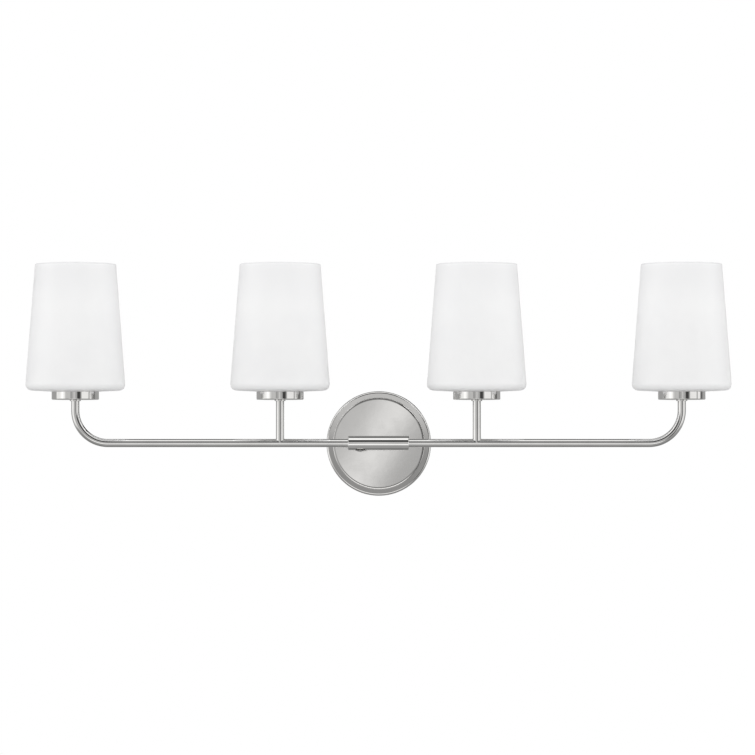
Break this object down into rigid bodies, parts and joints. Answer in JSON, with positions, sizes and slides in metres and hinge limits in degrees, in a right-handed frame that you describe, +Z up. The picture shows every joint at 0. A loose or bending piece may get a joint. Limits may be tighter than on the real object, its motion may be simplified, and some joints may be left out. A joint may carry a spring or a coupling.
{
  "type": "vanity light bar",
  "caption": "Wall light bar with open-topped opal glass shades on a bent chrome tube, held off a round stepped wall plate.",
  "frame": {"origin": "centre of the wall plate, on the wall, between the outlet box screws", "axes": "+X along the bar, +Z up towards the shades' open tops, -Y out from the wall"},
  "size_m": [0.8614, 0.1707, 0.2839],
  "materials": {
    "polished_metal": "polished",
    "zinc_steel": "zinc plated",
    "green_metal": "plated green",
    "green_wire": "insulated",
    "black_wire": "insulated",
    "white_wire": "insulated",
    "connector_plastic": "moulded",
    "porcelain": "glazed",
    "brass": "stamped",
    "opal_glass": "etched opal",
    "gasket_rubber": "matt",
    "ring_plastic": "moulded"
  },
  "bodies": {
    "fixture": {"back_plate": "polished_metal", "crossbar": "zinc_steel", "plate_screws": "polished_metal", "ground_screw": "green_metal", "ground_lead": "green_wire", "arm": "polished_metal", "arm_nipple": "zinc_steel", "lock_washer": "zinc_steel", "arm_nut": "zinc_steel", "center_sleeve": "polished_metal", "sleeve_set_screw": "polished_metal", "bar_left": "polished_metal", "bar_right": "polished_metal", "stem_left": "polished_metal", "stem_right": "polished_metal", "collar_nuts": "polished_metal", "lock_nuts": "zinc_steel", "hot_wires": "black_wire", "neutral_wires": "white_wire", "wire_connectors": "connector_plastic", "cup_1": "polished_metal", "socket_1": "porcelain", "screw_shell_1": "brass", "center_contact_1": "brass", "cup_2": "polished_metal", "socket_2": "porcelain", "screw_shell_2": "brass", "center_contact_2": "brass", "cup_3": "polished_metal", "socket_3": "porcelain", "screw_shell_3": "brass", "center_contact_3": "brass", "cup_4": "polished_metal", "socket_4": "porcelain", "screw_shell_4": "brass", "center_contact_4": "brass"},
    "shade_unit_1": {"shade_1": "opal_glass", "gasket_1": "gasket_rubber"},
    "ring_unit_1": {"retaining_ring_1": "ring_plastic"},
    "shade_unit_2": {"shade_2": "opal_glass", "gasket_2": "gasket_rubber"},
    "ring_unit_2": {"retaining_ring_2": "ring_plastic"},
    "shade_unit_3": {"shade_3": "opal_glass", "gasket_3": "gasket_rubber"},
    "ring_unit_3": {"retaining_ring_3": "ring_plastic"},
    "shade_unit_4": {"shade_4": "opal_glass", "gasket_4": "gasket_rubber"},
    "ring_unit_4": {"retaining_ring_4": "ring_plastic"}
  },
  "joints": [
    {"name": "shade_lift_1", "type": "slide", "parent": "fixture", "child": "shade_unit_1", "axis": [0, 0, 1], "range_m": [0, 0.045]},
    {"name": "shade_lift_2", "type": "slide", "parent": "fixture", "child": "shade_unit_2", "axis": [0, 0, 1], "range_m": [0, 0.045]},
    {"name": "shade_lift_3", "type": "slide", "parent": "fixture", "child": "shade_unit_3", "axis": [0, 0, 1], "range_m": [0, 0.045]},
    {"name": "shade_lift_4", "type": "slide", "parent": "fixture", "child": "shade_unit_4", "axis": [0, 0, 1], "range_m": [0, 0.045]},
    {"name": "ring_turn_1", "type": "hinge", "parent": "shade_unit_1", "child": "ring_unit_1", "pos_m": [-0.37, -0.11, 0.0705], "axis": [0, 0, 1], "range_deg": [0, 1080]},
    {"name": "ring_turn_2", "type": "hinge", "parent": "shade_unit_2", "child": "ring_unit_2", "pos_m": [-0.12, -0.11, 0.0705], "axis": [0, 0, 1], "range_deg": [0, 1080]},
    {"name": "ring_turn_3", "type": "hinge", "parent": "shade_unit_3", "child": "ring_unit_3", "pos_m": [0.12, -0.11, 0.0705], "axis": [0, 0, 1], "range_deg": [0, 1080]},
    {"name": "ring_turn_4", "type": "hinge", "parent": "shade_unit_4", "child": "ring_unit_4", "pos_m": [0.37, -0.11, 0.0705], "axis": [0, 0, 1], "range_deg": [0, 1080]}
  ]
}
